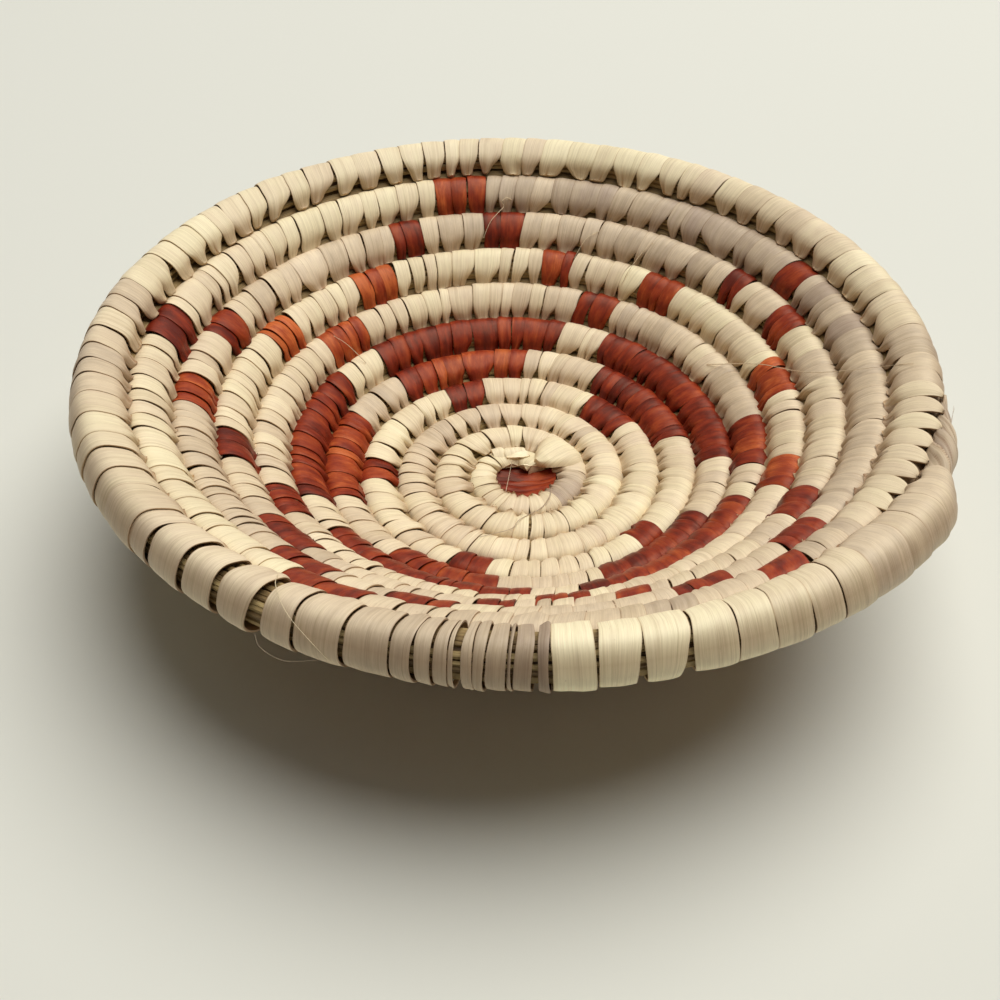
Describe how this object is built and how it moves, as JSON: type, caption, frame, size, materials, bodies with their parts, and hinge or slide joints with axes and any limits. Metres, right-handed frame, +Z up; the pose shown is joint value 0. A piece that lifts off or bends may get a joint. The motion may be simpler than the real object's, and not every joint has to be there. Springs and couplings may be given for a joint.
{
  "type": "coiled basket",
  "caption": "Shallow round coiled basket: a grass coil wrapped in natural and russet palm leaf, with a star and zigzag pattern and a tapered coil end at the rim.",
  "frame": {"origin": "under the centre of the spiral, on the surface the bowl stands on", "axes": "+Z up, out of the bowl's mouth; +X to the right and +Y away from someone who faces the bowl with the tapered end of its coil at their right"},
  "size_m": [0.2225, 0.228, 0.0621],
  "materials": {
    "natural_leaf": "satin dried palm leaf, cream to greyish tan, with fine lengthwise fibres",
    "russet_leaf": "satin dyed palm leaf, maroon to orange-brown, with fine lengthwise fibres",
    "grass": "matte bundle of dry grass stems"
  },
  "bodies": {
    "root": {"start_knot": "russet_leaf", "foundation_coil": "grass", "tail_wrap": "natural_leaf", "natural_wrap_row01": "natural_leaf", "natural_wrap_row02": "natural_leaf", "natural_wrap_row03": "natural_leaf", "natural_wrap_row04": "natural_leaf", "natural_wrap_row05": "natural_leaf", "natural_wrap_row06": "natural_leaf", "natural_wrap_row07": "natural_leaf", "natural_wrap_row08": "natural_leaf", "natural_wrap_row09": "natural_leaf", "natural_wrap_row10": "natural_leaf", "natural_wrap_row11": "natural_leaf", "russet_wrap_row04_01": "russet_leaf", "russet_wrap_row04_02": "russet_leaf", "russet_wrap_row04_03": "russet_leaf", "russet_wrap_row04_04": "russet_leaf", "russet_wrap_row04_05": "russet_leaf", "russet_wrap_row05_01": "russet_leaf", "russet_wrap_row05_02": "russet_leaf", "russet_wrap_row05_03": "russet_leaf", "russet_wrap_row05_04": "russet_leaf", "russet_wrap_row05_05": "russet_leaf", "russet_wrap_row06_01": "russet_leaf", "russet_wrap_row06_02": "russet_leaf", "russet_wrap_row06_03": "russet_leaf", "russet_wrap_row06_04": "russet_leaf", "russet_wrap_row06_05": "russet_leaf", "russet_wrap_row07_01": "russet_leaf", "russet_wrap_row07_02": "russet_leaf", "russet_wrap_row07_03": "russet_leaf", "russet_wrap_row07_04": "russet_leaf", "russet_wrap_row07_05": "russet_leaf", "russet_wrap_row07_06": "russet_leaf", "russet_wrap_row08_01": "russet_leaf", "russet_wrap_row08_02": "russet_leaf", "russet_wrap_row08_03": "russet_leaf", "russet_wrap_row08_04": "russet_leaf", "russet_wrap_row08_05": "russet_leaf", "russet_wrap_row08_06": "russet_leaf", "russet_wrap_row08_07": "russet_leaf", "russet_wrap_row08_08": "russet_leaf", "russet_wrap_row08_09": "russet_leaf", "russet_wrap_row08_10": "russet_leaf", "russet_wrap_row09_01": "russet_leaf", "russet_wrap_row09_02": "russet_leaf", "russet_wrap_row09_03": "russet_leaf", "russet_wrap_row09_04": "russet_leaf", "russet_wrap_row09_05": "russet_leaf", "russet_wrap_row09_06": "russet_leaf", "russet_wrap_row09_07": "russet_leaf", "russet_wrap_row09_08": "russet_leaf", "russet_wrap_row09_09": "russet_leaf", "russet_wrap_row09_10": "russet_leaf", "russet_wrap_row10_01": "russet_leaf", "russet_wrap_row10_02": "russet_leaf", "russet_wrap_row10_03": "russet_leaf", "russet_wrap_row10_04": "russet_leaf", "russet_wrap_row10_05": "russet_leaf"}
  },
  "joints": []
}
